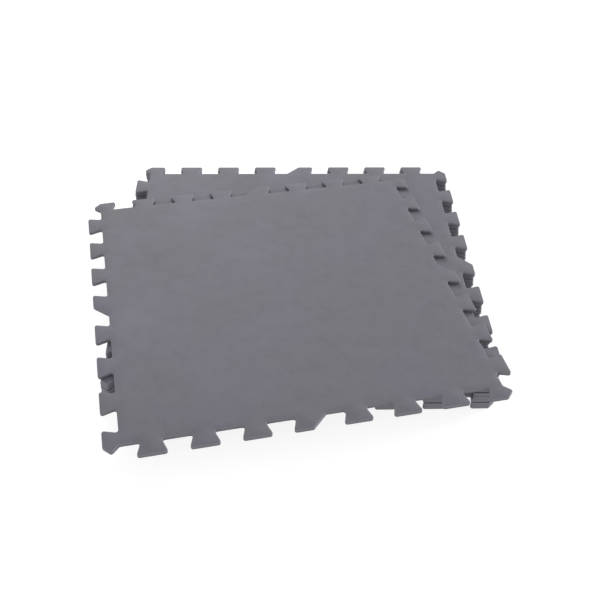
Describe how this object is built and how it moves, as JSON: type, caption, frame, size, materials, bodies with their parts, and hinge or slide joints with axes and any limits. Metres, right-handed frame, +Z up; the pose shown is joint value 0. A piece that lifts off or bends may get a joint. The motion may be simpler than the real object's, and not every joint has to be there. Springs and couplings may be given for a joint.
{
  "type": "interlocking foam blocking mats",
  "caption": "Square foam mats with dovetail-toothed edges that lock side by side, seven in a stack and one laid askew on top, for pinning out knitting.",
  "frame": {"origin": "middle of the bottom mat's underside", "axes": "+Z up through the stack, +X to the right along the front edge, -Y towards the front"},
  "size_m": [0.589, 0.6256, 0.048],
  "materials": {
    "eva_foam": "matte grey closed-cell foam, fine grained skin"
  },
  "bodies": {
    "mat_1": {"stack_mat_1": "eva_foam"},
    "mat_2": {"stack_mat_2": "eva_foam"},
    "mat_3": {"stack_mat_3": "eva_foam"},
    "mat_4": {"stack_mat_4": "eva_foam"},
    "mat_5": {"stack_mat_5": "eva_foam"},
    "mat_6": {"stack_mat_6": "eva_foam"},
    "mat_7": {"stack_mat_7": "eva_foam"},
    "mat_8": {"top_mat": "eva_foam"}
  },
  "joints": [
    {"name": "lift_mat_2", "type": "slide", "parent": "mat_1", "child": "mat_2", "axis": [0, 0, 1], "range_m": [0, 0.05]},
    {"name": "lift_mat_3", "type": "slide", "parent": "mat_2", "child": "mat_3", "axis": [0, 0, 1], "range_m": [0, 0.05]},
    {"name": "lift_mat_4", "type": "slide", "parent": "mat_3", "child": "mat_4", "axis": [0, 0, 1], "range_m": [0, 0.05]},
    {"name": "lift_mat_5", "type": "slide", "parent": "mat_4", "child": "mat_5", "axis": [0, 0, 1], "range_m": [0, 0.05]},
    {"name": "lift_mat_6", "type": "slide", "parent": "mat_5", "child": "mat_6", "axis": [0, 0, 1], "range_m": [0, 0.05]},
    {"name": "lift_mat_7", "type": "slide", "parent": "mat_6", "child": "mat_7", "axis": [0, 0, 1], "range_m": [0, 0.05]},
    {"name": "lift_mat_8", "type": "slide", "parent": "mat_7", "child": "mat_8", "axis": [0, 0, 1], "range_m": [0, 0.15]}
  ]
}
